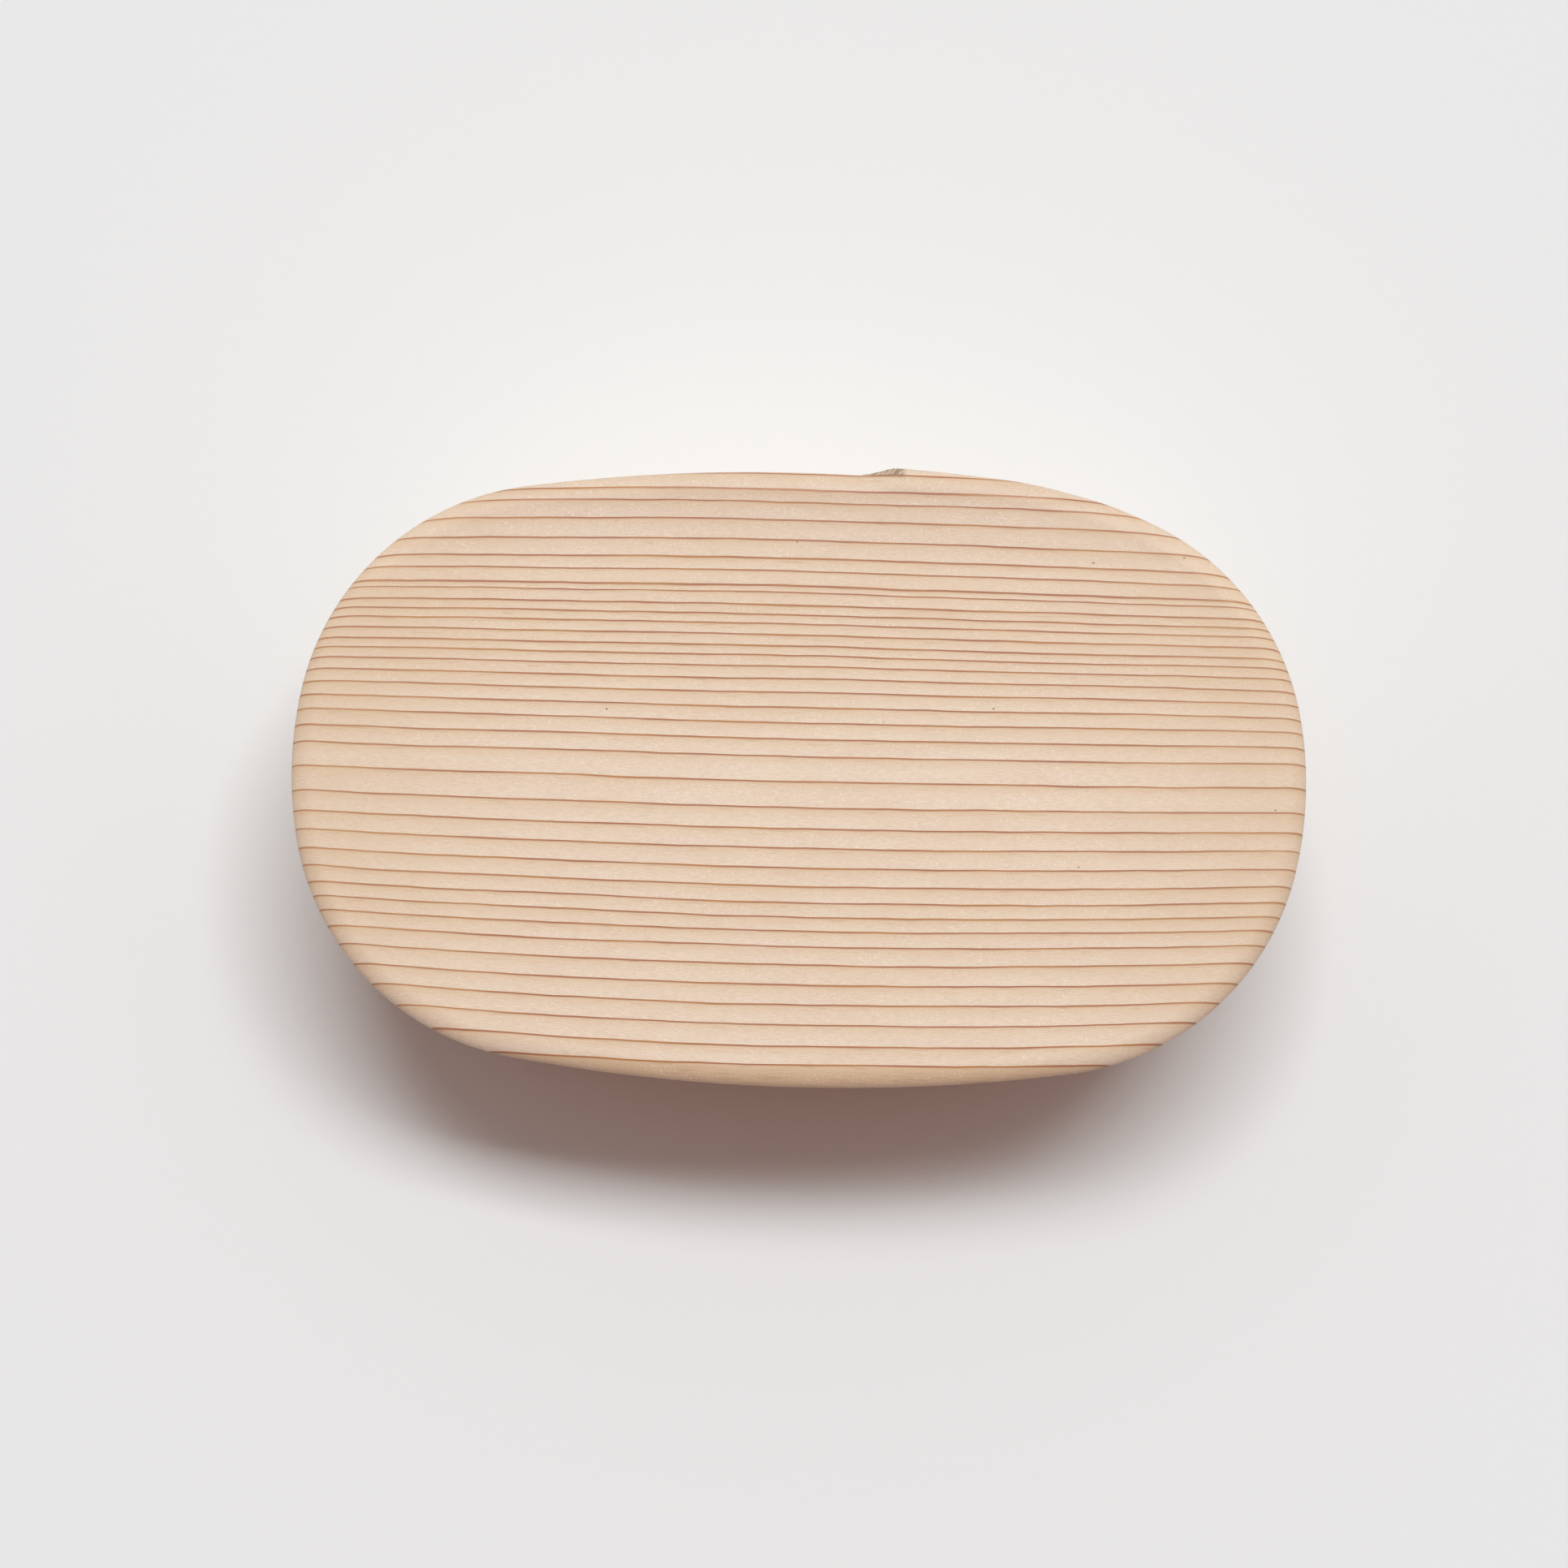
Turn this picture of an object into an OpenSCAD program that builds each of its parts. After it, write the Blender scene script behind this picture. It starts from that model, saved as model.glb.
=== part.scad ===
// Bentwood lunch box: an oval body and a deep cover lid. Each is a strip of cedar bent round a
// carved board. The strip's thinned ends overlap, are glued and are sewn with cherry bark.
// X runs along the box, Y towards the lapped back and Z up. The origin lies on the table, below
// the middle of the oval.

/* [Oval outline of the lid] */
// Length of the lid over its ends
lid_length = 180; // [150:1:210]
// Width of the lid over its long sides, without the swelling at the lap
lid_width = 109; // [96:1:124]
// How far each long side swells out past its corner arcs
side_bow = 3.3; // [1.5:0.1:6]
// How far each end swells out past its corner arcs
end_bow = 0.4; // [0.2:0.1:2]
// Distance between the centres of the two corner arcs at each end
end_span = 8.4; // [6:0.2:24]

/* [Heights] */
// Height of the body from the table to its rim
body_height = 50.4; // [42:0.2:70]
// Height of the lid's bent band
lid_band_height = 24; // [20:0.5:32]

/* [Bent bands] */
// Thickness of both bent strips
band_thickness = 3.2; // [2.6:0.1:4.2]
// Gap all round between the lid's band and the body's band
lid_clearance = 1.2; // [1:0.1:2.5]
// Gap between the body's rim and its seat under the lid
seat_gap = 0.1; // [0.05:0.05:0.4]
// Radius of the softened edges on the free rims
rim_ease = 0.7; // [0.2:0.1:1.2]

/* [Lap joints] */
// Distance of the outer tip of each lap from the middle of the back
lap_start = 10; // [4:1:24]
// Length over which the two ends of a strip overlap
lap_length = 52; // [40:1:64]
// Length of the slope shaved on the outer tip
tip_slope = 6; // [4:0.5:10]
// Thickness left on a thinned tip
tip_thickness = 0.2; // [0.1:0.05:0.4]
// Thickness of the glue line in a lap, and round a board's tongue
glue_line = 0.1; // [0.05:0.05:0.2]
// How far the lid's outline swells out over its lap
lid_swell = 1.7; // [0.8:0.1:2.4]
// How far the body's outline swells out over its lap, which is thinned more
body_swell = 0.5; // [0.4:0.05:0.6]

/* [Lid board] */
// Height of the lid board over its band
lid_board_height = 7; // [5:0.5:10]
// Depth of the tongue that reaches down inside the lid's band
lid_tongue = 2.6; // [1.5:0.1:5]
// Width of the rounding along the top edge
lid_round_width = 4; // [2:0.5:12]
// Height of the rounding along the top edge
lid_round_height = 2.6; // [2:0.2:9]
// Width of the flat seat under the lid, which rests on the body's rim
lid_seat_width = 9; // [7:0.5:14]
// Depth of the hollow inside the seat
lid_hollow = 3.2; // [1:0.2:5]
// Width of the hollow's rounded wall
lid_hollow_round = 5; // [2:0.5:9]

/* [Bottom board] */
// Height of the bottom board below the body's band
bottom_board_height = 6; // [5:0.5:9]
// Width of the rounding along the bottom edge
bottom_round_width = 5; // [2:0.5:8]
// Height of the rounding along the bottom edge
bottom_round_height = 4.6; // [2:0.2:7]
// Height of the tongue that stands up inside the body's band
bottom_tongue = 5; // [3:0.5:9]
// Thickness of the floor
floor_thickness = 5; // [3.5:0.5:7]
// Width of the cove between the floor and the wall
cove_width = 8; // [4:0.5:14]
// Thickness left on the tongue's upper edge
tongue_lip = 0.3; // [0.2:0.1:1]

/* [Bark sewing] */
// Width of the bark strip
bark_width = 5; // [3:0.5:8]
// Thickness of the bark strip
bark_thickness = 0.5; // [0.35:0.05:0.6]
// How deep the tight bark lies in the wood
bark_sunk = 0.3; // [0.2:0.05:0.5]
// Gap between the bark and the wood round it
bark_clearance = 0.04; // [0.02:0.01:0.08]
// Length of a stitch that shows outside
outside_stitch = 4.2; // [3.2:0.1:7]
// Length of wood between two outside stitches
stitch_space = 2.2; // [1.6:0.1:4]
// Length of the tucked ends inside, past the last stitches
stitch_tail = 1.4; // [0.8:0.1:1.6]
// Least distance from a stitch to the end of the free stretch of its band
stitch_margin = 2; // [1.8:0.1:6]
// Distance of the sewing from the outer tip of the lap
sewing_from_tip = 15; // [11:1:18]

/* [Divider] */
// Thickness of the loose divider
divider_thickness = 3; // [2:0.5:5]
// Place of the divider along the box
divider_place = 21; // [0:1:30]
// Gap between the divider and the body round it
divider_clearance = 0.3; // [0.2:0.1:1]
// Distance from the body's rim down to the divider's top
divider_drop = 5; // [2:0.5:14]
// Radius of the divider's upper corners
divider_round = 7; // [3:0.5:12]

/* [Hidden] */

slope_steps = 4;
lap_steps = 10;
oval_steps = 102;
rounding_steps = 7;
cove_steps = 4;
corner_steps = 8;
// Distance before the tip at which the outline leaves the plain oval
tip_lead = 0.6;

cedar = [0.87, 0.75, 0.62];
cedar_band = [0.84, 0.70, 0.56];
bark = [0.38, 0.17, 0.11];

half_length = lid_length / 2;
half_width = lid_width / 2;
corner_radius = half_width - side_bow - end_span / 2;
corner = [half_length - corner_radius - end_bow, end_span / 2];
// The long arc through the middle of a side, tangent to the corner arcs, and the one at an end
side_radius = (pow(corner.x, 2) + pow(half_width - corner.y, 2) - pow(corner_radius, 2)) / (2 * side_bow);
end_radius = (pow(corner.y, 2) + pow(half_length - corner.x, 2) - pow(corner_radius, 2)) / (2 * end_bow);
side_y = half_width - side_radius;
end_x = half_length - end_radius;
side_turn = atan2(corner.y - side_y, corner.x);
end_turn = atan2(corner.y, corner.x - end_x);

// The oval, anticlockwise: each arc is [centre, radius, first angle, last angle]
arcs = [
    [[end_x, 0], end_radius, -end_turn, end_turn],
    [corner, corner_radius, end_turn, side_turn],
    [[0, side_y], side_radius, side_turn, 180 - side_turn],
    [[-corner.x, corner.y], corner_radius, 180 - side_turn, 180 - end_turn],
    [[-end_x, 0], end_radius, 180 - end_turn, 180 + end_turn],
    [-corner, corner_radius, 180 + end_turn, 180 + side_turn],
    [[0, -side_y], side_radius, 180 + side_turn, 360 - side_turn],
    [[corner.x, -corner.y], corner_radius, 360 - side_turn, 360 - end_turn]
];
back_arc = 2;

// Insets from the lid's outline
body_inset = band_thickness + lid_clearance;
tongue_inset = band_thickness + glue_line;

// Levels, from the table up
floor_level = floor_thickness;
bottom_joint = bottom_board_height;
lip_level = bottom_joint + bottom_tongue;
seat_level = body_height + seat_gap;
lid_joint = seat_level + lid_tongue;
lid_top = lid_joint + lid_board_height;
lid_rim = lid_joint - lid_band_height;

// Smooth step from 0 to 1
function smooth(x) = let (u = min(max(x, 0), 1)) u * u * (3 - 2 * u);

// Length of an arc of the oval drawn in by inset, and of the arcs before number k
function arc_run(arc, inset) = (arc[1] - inset) * (arc[3] - arc[2]) * PI / 180;
function run_to(k, inset) = k == 0 ? 0 : run_to(k - 1, inset) + arc_run(arcs[k - 1], inset);
function whole_run(inset) = run_to(len(arcs), inset);

// Place on the drawn-in oval at a length along it: [centre, radius, angle of the outward normal]
function spot(run, inset, k = 0) =
    let (arc = arcs[k], own = arc_run(arc, inset))
    run <= own || k == len(arcs) - 1
        ? [arc[0], arc[1] - inset, arc[2] + run / (arc[1] - inset) * 180 / PI]
        : spot(run - own, inset, k + 1);
function point_at(spot, out) = spot[0] + (spot[1] + out) * [cos(spot[2]), sin(spot[2])];

// Length along the oval of the lap's outer tip, and the spot at a distance clockwise from the tip
function tip_run(inset) =
    let (r = side_radius - inset)
    run_to(back_arc, inset) + r * (90 - asin(lap_start / r) - side_turn) * PI / 180;
function lap_spot(s, inset) =
    let (run = tip_run(inset) - s)
    spot(run < 0 ? run + whole_run(inset) : run, inset);

// Distances from the tip at which the outline is drawn: closely over the lap, evenly round the rest
lap_marks = concat(
    [for (i = [0 : slope_steps]) tip_slope * i / slope_steps],
    [for (i = [1 : lap_steps]) tip_slope + (lap_length - tip_slope) * i / lap_steps]
);
function oval_marks(inset) =
    let (rest = whole_run(inset) - tip_lead - lap_length)
    [for (i = [1 : oval_steps]) lap_length + rest * i / oval_steps];

// How far the outline stands out at a distance from the tip, for a lap that swells by size
function swell(s, size) =
    let (tip = glue_line + tip_thickness,
         rise = tip + (size - tip) * smooth(s / tip_slope))
    s >= lap_length ? 0 : rise * (1 - smooth(2 * s / lap_length - 1));
// Thickness of the inner end of the strip, thinned evenly to its tip
function inner_end(s) = band_thickness + (tip_thickness - band_thickness) * s / lap_length;

// A closed outline round a band or board; share tells how much of the lap's swelling it follows
function outline(inset, out, z, size, share) =
    [for (s = concat(lap_marks, oval_marks(inset)))
        let (p = point_at(lap_spot(s, inset), out + share * swell(s, size)))
        [p.x, p.y, z]];

// A solid through rings of equally many points, closed at both ends by a fan round a middle point
module skin(rings) {
    n = len(rings[0]);
    last = (len(rings) - 1) * n;
    middle = len(rings) * n;
    middles = [for (r = [rings[0], rings[len(rings) - 1]]) [for (i = [0 : 2]) mean(r, i)]];
    sides = [for (k = [0 : len(rings) - 2], j = [0 : n - 1])
        let (a = k * n + j, b = k * n + (j + 1) % n)
        each [[a, a + n, b + n], [a, b + n, b]]];
    ends = [for (j = [0 : n - 1])
        let (i = (j + 1) % n)
        each [[middle, j, i], [middle + 1, last + i, last + j]]];
    polyhedron(concat([for (r = rings) each r], middles), concat(sides, ends));
}

function mean(points, i) = [for (p = points) p[i]] * [for (p = points) 1] / len(points);

// Cross-section of a strip from its inner to its outer face, with the free edge softened
function strip_section(spot, inner, outer, joint, free) =
    let (up = sign(free - joint),
         e = min(rim_ease, 0.45 * (outer - inner)),
         f = e * (1 - cos(45)),
         profile = [[inner, joint], [inner, free - up * e], [inner + f, free - up * f],
                    [inner + e, free], [outer - e, free], [outer - f, free - up * f],
                    [outer, free - up * e], [outer, joint]])
    [for (q = up > 0 ? profile : [for (i = [len(profile) - 1 : -1 : 0]) profile[i]])
        let (p = point_at(spot, q.x))
        [p.x, p.y, q.y]];

// A bent strip, from the outer tip of its lap once round the oval to the inner tip below it
module bent_strip(inset, size, joint, free) {
    over = [for (s = lap_marks)
        strip_section(lap_spot(s, inset), inner_end(s) + glue_line - band_thickness, swell(s, size),
                      joint, free)];
    round = [for (s = oval_marks(inset))
        strip_section(lap_spot(s, inset), -band_thickness, 0, joint, free)];
    under = [for (s = lap_marks)
        strip_section(lap_spot(s, inset), -band_thickness, inner_end(s) - band_thickness, joint, free)];
    skin(concat(over, round, under));
}

// Number of stitches that fit in a stretch of this height, and the length of their row
function stitch_count(height) =
    floor((height - 2 * stitch_margin + stitch_space) / (outside_stitch + stitch_space));
function row_length(count) = count * (outside_stitch + stitch_space) - stitch_space;

// A rectangle between two corners, grown on every side
module plate(low, high, grow) {
    translate(low - [grow, grow])
        square(high - low + 2 * [grow, grow]);
}

// The bark strip of one lap, in and out through the stretch of wood from low to high; grow turns it
// into the channel for it
module bark_strip(inset, size, low, high, grow) {
    at = lap_spot(sewing_from_tip, inset);
    stands = swell(sewing_from_tip, size);
    wall = band_thickness + stands;
    count = stitch_count(high - low);
    pitch = outside_stitch + stitch_space;
    first = (low + high + row_length(count)) / 2;
    out = [-bark_sunk, bark_thickness - bark_sunk];
    in = [bark_sunk - bark_thickness - wall, bark_sunk - wall];
    tops = [for (k = [0 : count - 1]) first - k * pitch];
    base = point_at(at, stands);
    translate([base.x, base.y, 0])
        rotate([90, 0, at[2]])
            linear_extrude(height = bark_width + 2 * grow, center = true) {
                for (top = tops) {
                    bottom = top - outside_stitch;
                    plate([out[0], bottom], [out[1], top], grow);
                    plate([in[0], top - bark_thickness], [out[1], top], grow);
                    plate([in[0], bottom], [out[1], bottom + bark_thickness], grow);
                    above = top == tops[0] ? stitch_tail : stitch_space + bark_thickness;
                    plate([in[0], top - bark_thickness], [in[1], top + above], grow);
                }
                end = tops[count - 1] - outside_stitch;
                plate([in[0], end - stitch_tail], [in[1], end + bark_thickness], grow);
            }
}

module lid_bark_sewing(grow = 0) {
    color(bark)
        bark_strip(0, lid_swell, lid_rim, seat_level, grow);
}

module body_bark_sewing(grow = 0) {
    color(bark)
        bark_strip(body_inset, body_swell, lip_level, body_height, grow);
}

module lid_band() {
    color(cedar_band)
        difference() {
            bent_strip(0, lid_swell, lid_joint, lid_rim);
            lid_bark_sewing(bark_clearance);
        }
}

module body_band() {
    color(cedar_band)
        difference() {
            bent_strip(body_inset, body_swell, bottom_joint, body_height);
            body_bark_sewing(bark_clearance);
        }
}

// The lid's board covers the edge of its band and follows the step at the lap
module lid_board() {
    high = min(lid_round_height, lid_board_height);
    seat_edge = -tongue_inset - lid_seat_width;
    hollow = [for (i = [cove_steps : -1 : 0])
        let (a = 90 * i / cove_steps)
        outline(0, seat_edge - lid_hollow_round * (1 - cos(a)), seat_level + lid_hollow * sin(a),
                lid_swell, 0)];
    tongue = [
        outline(0, -tongue_inset - rim_ease, seat_level, lid_swell, 0),
        outline(0, -tongue_inset, seat_level + rim_ease, lid_swell, 0),
        outline(0, -tongue_inset, lid_joint, lid_swell, 0)
    ];
    edge = [outline(0, 0, lid_joint, lid_swell, 1)];
    rounding = [for (i = [0 : rounding_steps])
        let (a = 90 * i / rounding_steps)
        outline(0, -lid_round_width * (1 - cos(a)), lid_top - high * (1 - sin(a)), lid_swell, 1)];
    color(cedar)
        skin(concat(hollow, tongue, edge, rounding));
}

// The bottom board carries the band on its shoulder and meets it inside with a cove
module bottom_board() {
    high = min(bottom_round_height, bottom_board_height);
    rounding = [for (i = [rounding_steps : -1 : 0])
        let (a = 90 * i / rounding_steps)
        outline(body_inset, -bottom_round_width * (1 - cos(a)), high * (1 - sin(a)), body_swell, 1)];
    shoulder = [
        outline(body_inset, 0, bottom_joint, body_swell, 1),
        outline(body_inset, -tongue_inset, bottom_joint, body_swell, 0),
        outline(body_inset, -tongue_inset, lip_level, body_swell, 0)
    ];
    cove = [for (i = [0 : cove_steps])
        let (a = 90 * i / cove_steps)
        outline(body_inset, -tongue_inset - tongue_lip - cove_width * (1 - cos(a)),
                lip_level - (lip_level - floor_level) * sin(a), body_swell, 0)];
    color(cedar)
        skin(concat(rounding, shoulder, cove));
}

// The divider stands on the floor between the long walls and follows the coves
module divider() {
    face = abs(divider_place) + divider_thickness / 2;
    wall_radius = side_radius - body_inset - band_thickness;
    wall = side_y + sqrt(pow(wall_radius, 2) - pow(face, 2));
    half = wall - glue_line - tongue_lip - divider_clearance;
    cove_height = lip_level - floor_level;
    top = body_height - divider_drop;
    foot = [for (i = [corner_steps : -1 : 0])
        let (a = 90 * i / corner_steps)
        [half - cove_width * (1 - cos(a)), lip_level - cove_height * sin(a) + divider_clearance]];
    head = [for (i = [0 : corner_steps])
        let (a = 90 * i / corner_steps)
        [half - divider_round * (1 - cos(a)), top - divider_round * (1 - sin(a))]];
    right = concat(foot, head);
    left = [for (i = [len(right) - 1 : -1 : 0]) [-right[i].x, right[i].y]];
    color(cedar_band)
        translate([divider_place, 0, 0])
            rotate([90, 0, 90])
                linear_extrude(height = divider_thickness, center = true)
                    polygon(concat(right, left));
}

lid_board();
lid_band();
lid_bark_sewing();
body_band();
bottom_board();
body_bark_sewing();
divider();
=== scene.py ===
# %% [markdown]
# # An oval lunch box of bent cedar
# The box is a body and a deep cover lid. Each is a thin cedar strip, steamed and bent round a carved board.
# The strip's thinned ends lap at the back, are glued and are sewn with a strip of cherry bark. A loose board
# divides the inside. Seen from above, only the lid's board shows: pale wood with thin reddish ring lines.
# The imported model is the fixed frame, and every piece below is made in its place and at its size.

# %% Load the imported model
import math
from collections import namedtuple
import bmesh
import bpy
from mathutils import Matrix, Vector


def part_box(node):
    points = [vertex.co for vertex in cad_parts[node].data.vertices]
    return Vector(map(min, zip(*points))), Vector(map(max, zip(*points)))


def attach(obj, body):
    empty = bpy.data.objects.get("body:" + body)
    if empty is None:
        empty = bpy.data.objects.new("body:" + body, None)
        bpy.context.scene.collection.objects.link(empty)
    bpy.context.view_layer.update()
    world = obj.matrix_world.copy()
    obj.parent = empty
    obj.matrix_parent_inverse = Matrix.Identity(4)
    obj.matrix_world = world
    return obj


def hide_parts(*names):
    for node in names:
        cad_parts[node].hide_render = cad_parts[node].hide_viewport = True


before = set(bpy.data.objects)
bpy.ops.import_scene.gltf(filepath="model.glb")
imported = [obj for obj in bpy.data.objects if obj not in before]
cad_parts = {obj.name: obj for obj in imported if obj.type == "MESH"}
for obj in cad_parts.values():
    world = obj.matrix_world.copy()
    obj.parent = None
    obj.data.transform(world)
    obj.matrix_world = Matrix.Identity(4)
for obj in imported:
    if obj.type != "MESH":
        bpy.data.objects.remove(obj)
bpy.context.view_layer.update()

print("Nodes in the frame:", ", ".join(sorted(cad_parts)))

# %% [markdown]
# ## Sizes
# A frame already knows the outer sizes, so lengths and levels are read from the boxes of its nodes. What a
# box can't tell is written down: how the oval bends, how thick the strips are and how their ends are shaved.
# Blender counts in metres, so every written size is multiplied by MM. HAIR is less than any real size, and
# tells whether two places are the same.

# %% Read the levels and lengths
MM = 0.001
HAIR = 0.001 * MM
lid_board_low, lid_board_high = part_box("lid_board")
lid_band_low, lid_band_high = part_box("lid_band")
body_band_low, body_band_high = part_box("body_band")

half_length = lid_board_high.x
half_width = -lid_board_low.y
body_inset = half_length - body_band_high.x
lid_top = lid_board_high.z
lid_joint = lid_band_high.z
seat_level = lid_board_low.z
body_rim = body_band_high.z
bottom_joint = body_band_low.z
lip_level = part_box("bottom_board")[1].z

band_thickness = 3.2 * MM
glue_line = 0.1 * MM
tongue_inset = band_thickness + glue_line
print(f"Lid {2000 * half_length:.1f} x {2000 * half_width:.1f} mm, top at {1000 * lid_top:.1f} mm")

# %% [markdown]
# ## The oval
# A bent strip has no corners and no straight stretches, so a plain ellipse or a rounded rectangle would look
# wrong. The outline is eight arcs, each tangent to the next: two flat ones along the sides, two at the ends
# and four at the corners. Drawn further in, every arc keeps its centre, so the body's oval fits the lid's.

# %% Find the arcs of the oval
side_bow = 3.3 * MM
end_bow = 0.4 * MM
end_span = 8.4 * MM

corner_radius = half_width - side_bow - end_span / 2
corner = Vector((half_length - corner_radius - end_bow, end_span / 2, 0))
side_radius = (corner.x**2 + (half_width - corner.y)**2 - corner_radius**2) / (2 * side_bow)
end_radius = (corner.y**2 + (half_length - corner.x)**2 - corner_radius**2) / (2 * end_bow)
side_centre = Vector((0, half_width - side_radius, 0))
end_centre = Vector((half_length - end_radius, 0, 0))
side_turn = math.atan2(corner.y - side_centre.y, corner.x)
end_turn = math.atan2(corner.y, corner.x - end_centre.x)
print(f"Radii in mm: side {1000 * side_radius:.0f}, corner {1000 * corner_radius:.0f}, "
      f"end {1000 * end_radius:.0f}")

# %% [markdown]
# The walk round the oval starts at the outer tip of the lap, a little right of the middle of the back, and
# goes clockwise. The first arc has the shortest steps, because the shaved slope of the lap lies on it.

# %% List the arcs from the tip
lap_start = 10 * MM
lap_length = 52 * MM
tip_lead = 0.6 * MM
slope_arc_steps = 80
corner_steps = 40
end_steps = 16
side_steps = 40
back_steps = 24


def direction(angle):
    return Vector((math.cos(angle), math.sin(angle), 0))


def tip_turn(inset):
    """Angle of the outward normal at the lap's tip."""
    return math.acos(lap_start / (side_radius - inset))


def once_round(inset):
    """The arcs of the oval, drawn in by inset, clockwise from the tip: centre, radius, turn and steps."""
    tip = tip_turn(inset)

    def corner_arc(x, y):
        return Vector((x * corner.x, y * corner.y, 0)), corner_radius, side_turn - end_turn, corner_steps

    arcs = [
        (side_centre, side_radius, tip - side_turn, slope_arc_steps),
        corner_arc(1, 1),
        (end_centre, end_radius, 2 * end_turn, end_steps),
        corner_arc(1, -1),
        (-side_centre, side_radius, math.pi - 2 * side_turn, side_steps),
        corner_arc(-1, -1),
        (-end_centre, end_radius, 2 * end_turn, end_steps),
        corner_arc(-1, 1),
        (side_centre, side_radius, math.pi - side_turn - tip, back_steps),
    ]
    return [(centre, radius - inset, turn, steps) for centre, radius, turn, steps in arcs]


def oval_length(inset):
    return sum(radius * turn for _, radius, turn, _ in once_round(inset))


print(f"Once round the lid is {1000 * oval_length(0):.0f} mm")

# %% Walk along the arcs
def walk(inset, length):
    """Yields each small turn of a walk from the tip: its centre and angle, then where it ends."""
    angle = tip_turn(inset)
    walked = 0
    for centre, radius, turn, steps in once_round(inset) * 2:
        for _ in range(steps):
            step = min(turn / steps, (length - walked) / radius)
            if step * radius < HAIR:
                return
            walked += radius * step
            angle -= step
            outward = direction(angle)
            yield centre, step, walked, centre + radius * outward, outward


print("Once round the lid takes", len(list(walk(0, oval_length(0)))), "steps")

# %% [markdown]
# ## The lap
# Where the ends of a strip overlap, the outline swells. It rises along the slope that is shaved on the outer
# tip, and it sinks back to the plain oval further on. Both boards are planed flush with their bands, so they
# share this swelling. One function gives it by the distance from the tip. On the lid, a knife cut the slope
# across the edge of the board and tore the grain a little, so the points there are marked for the finish.

# %% Describe the swelling at the lap
tip_slope = 6 * MM
tip_thickness = 0.2 * MM
lid_swell = 1.7 * MM
body_swell = 0.5 * MM
knife_overrun = 1.4 * MM
knife_fade = 0.8 * MM


def smooth(x):
    u = min(max(x, 0), 1)
    return u * u * (3 - 2 * u)


def swell(run, size):
    """How far the outline stands out at a distance from the tip, where the lap swells by size."""
    if run < -tip_lead / 2 or run > lap_length:
        return 0
    tip = glue_line + tip_thickness
    rise = tip + (size - tip) * smooth(run / tip_slope)
    return rise * (1 - smooth(2 * run / lap_length - 1))


def beside_lap(point, inset):
    """Distance of a point along the outline from the tip, and the way out of the wood there."""
    outward = Vector((point.x, point.y, 0)) - side_centre
    angle = math.atan2(outward.y, outward.x)
    if angle >= side_turn:
        return (side_radius - inset) * (tip_turn(inset) - angle), outward.normalized()
    to_corner = (side_radius - inset) * (tip_turn(inset) - side_turn)
    outward = Vector((point.x, point.y, 0)) - corner
    angle = math.atan2(outward.y, outward.x)
    return to_corner + (corner_radius - inset) * (side_turn - angle), outward.normalized()


def push_out_lap(bm, inset, size):
    """Moves the points of a plain oval board out to the swelling of the lap."""
    for vert in [vert for vert in bm.verts if vert.co.y > 0]:
        run, outward = beside_lap(vert.co, inset)
        vert.co += swell(run, size) * outward


def mark_knife_cut(bm):
    """Marks the points of the lid's plain board that the slope of the lap will carry out past the oval."""
    cut = bm.verts.layers.float.new("knife_cut")
    for vert in [vert for vert in bm.verts if vert.co.y > 0]:
        run, _ = beside_lap(vert.co, 0)
        depth = side_radius - (vert.co.xy - side_centre.xy).length
        ends = smooth(run / knife_fade) * smooth((tip_slope + knife_overrun - run) / knife_fade)
        vert[cut] = ends * smooth(0.5 + (swell(run, lid_swell) - depth) / knife_fade)


print(f"The lid's lap stands out {1000 * swell(tip_slope, lid_swell):.2f} mm at the top of its slope")

# %% [markdown]
# ## Tools for the boards
# A board is drawn, extruded and bevelled as in the editor. Its rounded edge is a quarter of an ellipse, wider
# than it is high, and a bevel only makes round ones. So the mesh is stretched upwards until the rounding
# would be a circle, bevelled, and let back to its height. A bevel's own defaults differ from the editor's, so
# one helper spells them out for every piece.

# %% Draw an oval and round an edge
CLOCKWISE = (0, 0, -1)


def verts_of(geometry):
    return [part for part in geometry if isinstance(part, bmesh.types.BMVert)]


def draw_oval(bm, inset, level):
    """Draws the closed outline with one spin for each arc, and returns its edges."""
    place = side_centre + (side_radius - inset) * direction(tip_turn(inset))
    first = bm.verts.new((place.x, place.y, level))
    last = first
    known = set(bm.edges)
    left = oval_length(inset) - tip_lead
    for centre, radius, turn, steps in once_round(inset):
        turn = min(turn, left / radius)
        left -= radius * turn
        made = bmesh.ops.spin(bm, geom=[last], cent=centre, axis=CLOCKWISE, angle=turn, steps=steps)
        last = verts_of(made["geom_last"])[0]
    bmesh.ops.contextual_create(bm, geom=[last, first])
    return [edge for edge in bm.edges if edge not in known]


def fill(bm, loop):
    return bmesh.ops.contextual_create(bm, geom=loop)["faces"][0]


def raise_face(bm, face, height):
    """Extrudes a face straight up or down and returns the moved face."""
    made = bmesh.ops.extrude_face_region(bm, geom=[face, *face.edges])["geom"]
    bmesh.ops.translate(bm, verts=verts_of(made), vec=(0, 0, height))
    return next(part for part in made if isinstance(part, bmesh.types.BMFace))


def rectangle(bm, shape, rows=1):
    """A flat face, or a few rows of them. It is 1 wide and 1 high, and the shape stretches and places it."""
    bmesh.ops.create_grid(bm, x_segments=1, y_segments=rows, size=0.5, matrix=shape)


def bevel(bm, geometry, offset, segments, affect="EDGES"):
    """A round bevel of edges, or of the corners of a flat face."""
    bmesh.ops.bevel(bm, geom=geometry, offset=offset, segments=segments, profile=0.5, affect=affect,
                    material=-1)


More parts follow.
